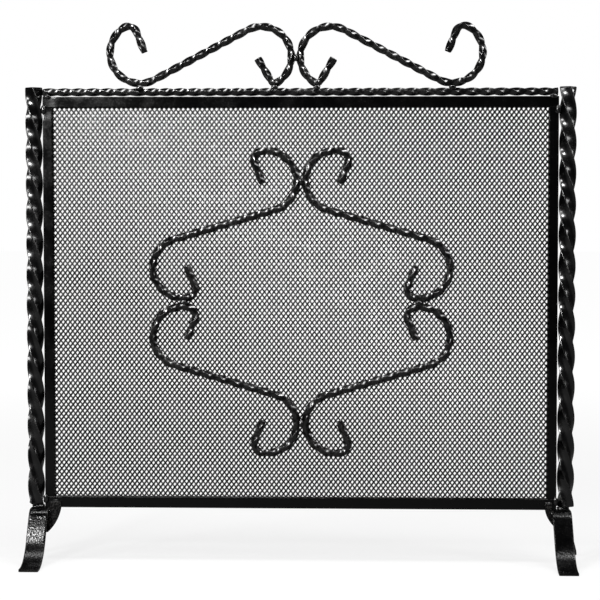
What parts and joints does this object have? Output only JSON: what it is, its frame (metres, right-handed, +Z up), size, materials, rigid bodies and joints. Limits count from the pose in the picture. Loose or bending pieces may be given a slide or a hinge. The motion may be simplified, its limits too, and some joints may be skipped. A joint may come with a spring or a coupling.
{
  "type": "fireplace screen",
  "caption": "Free-standing single-panel wrought iron fireplace screen: twisted posts on flared feet, a wire mesh panel, a scrolled crest and a scroll medallion.",
  "frame": {"origin": "on the floor under the middle of the object's footprint", "axes": "+X to the object's right as seen from its front, -Y to the front, where the scroll medallion is, +Z up"},
  "size_m": [0.746, 0.16, 0.7144],
  "materials": {
    "painted_iron": "glossy hammered black paint over twisted and flat iron bar",
    "mesh_wire": "satin black painted wire in a fine diamond lattice",
    "painted_weld": "lumpy weld beads under the same glossy black paint"
  },
  "bodies": {
    "root": {"crest_scroll_left": "painted_iron", "crest_scroll_right": "painted_iron", "crest_weld_inner_left": "painted_weld", "crest_weld_inner_right": "painted_weld", "crest_weld_middle": "painted_weld", "crest_weld_outer_left": "painted_weld", "crest_weld_outer_right": "painted_weld", "foot_weld_left": "painted_weld", "foot_weld_right": "painted_weld", "frame_bottom_rail": "painted_iron", "frame_left_stile": "painted_iron", "frame_right_stile": "painted_iron", "frame_top_rail": "painted_iron", "front_leg_left": "painted_iron", "front_leg_right": "painted_iron", "gusset_left": "painted_iron", "gusset_right": "painted_iron", "gusset_weld_left": "painted_weld", "gusset_weld_right": "painted_weld", "medallion_scroll_lower_left": "painted_iron", "medallion_scroll_lower_right": "painted_iron", "medallion_scroll_upper_left": "painted_iron", "medallion_scroll_upper_right": "painted_iron", "medallion_weld_bottom": "painted_weld", "medallion_weld_left": "painted_weld", "medallion_weld_right": "painted_weld", "medallion_weld_top": "painted_weld", "mesh_panel": "mesh_wire", "mesh_strip_bottom": "painted_iron", "mesh_strip_left": "painted_iron", "mesh_strip_right": "painted_iron", "mesh_strip_top": "painted_iron", "post_left": "painted_iron", "post_right": "painted_iron", "post_weld_bottom_left": "painted_weld", "post_weld_bottom_right": "painted_weld", "post_weld_top_left": "painted_weld", "post_weld_top_right": "painted_weld", "rear_leg_left": "painted_iron", "rear_leg_right": "painted_iron", "top_rod": "painted_iron", "top_rod_weld_left": "painted_weld", "top_rod_weld_right": "painted_weld"}
  },
  "joints": []
}
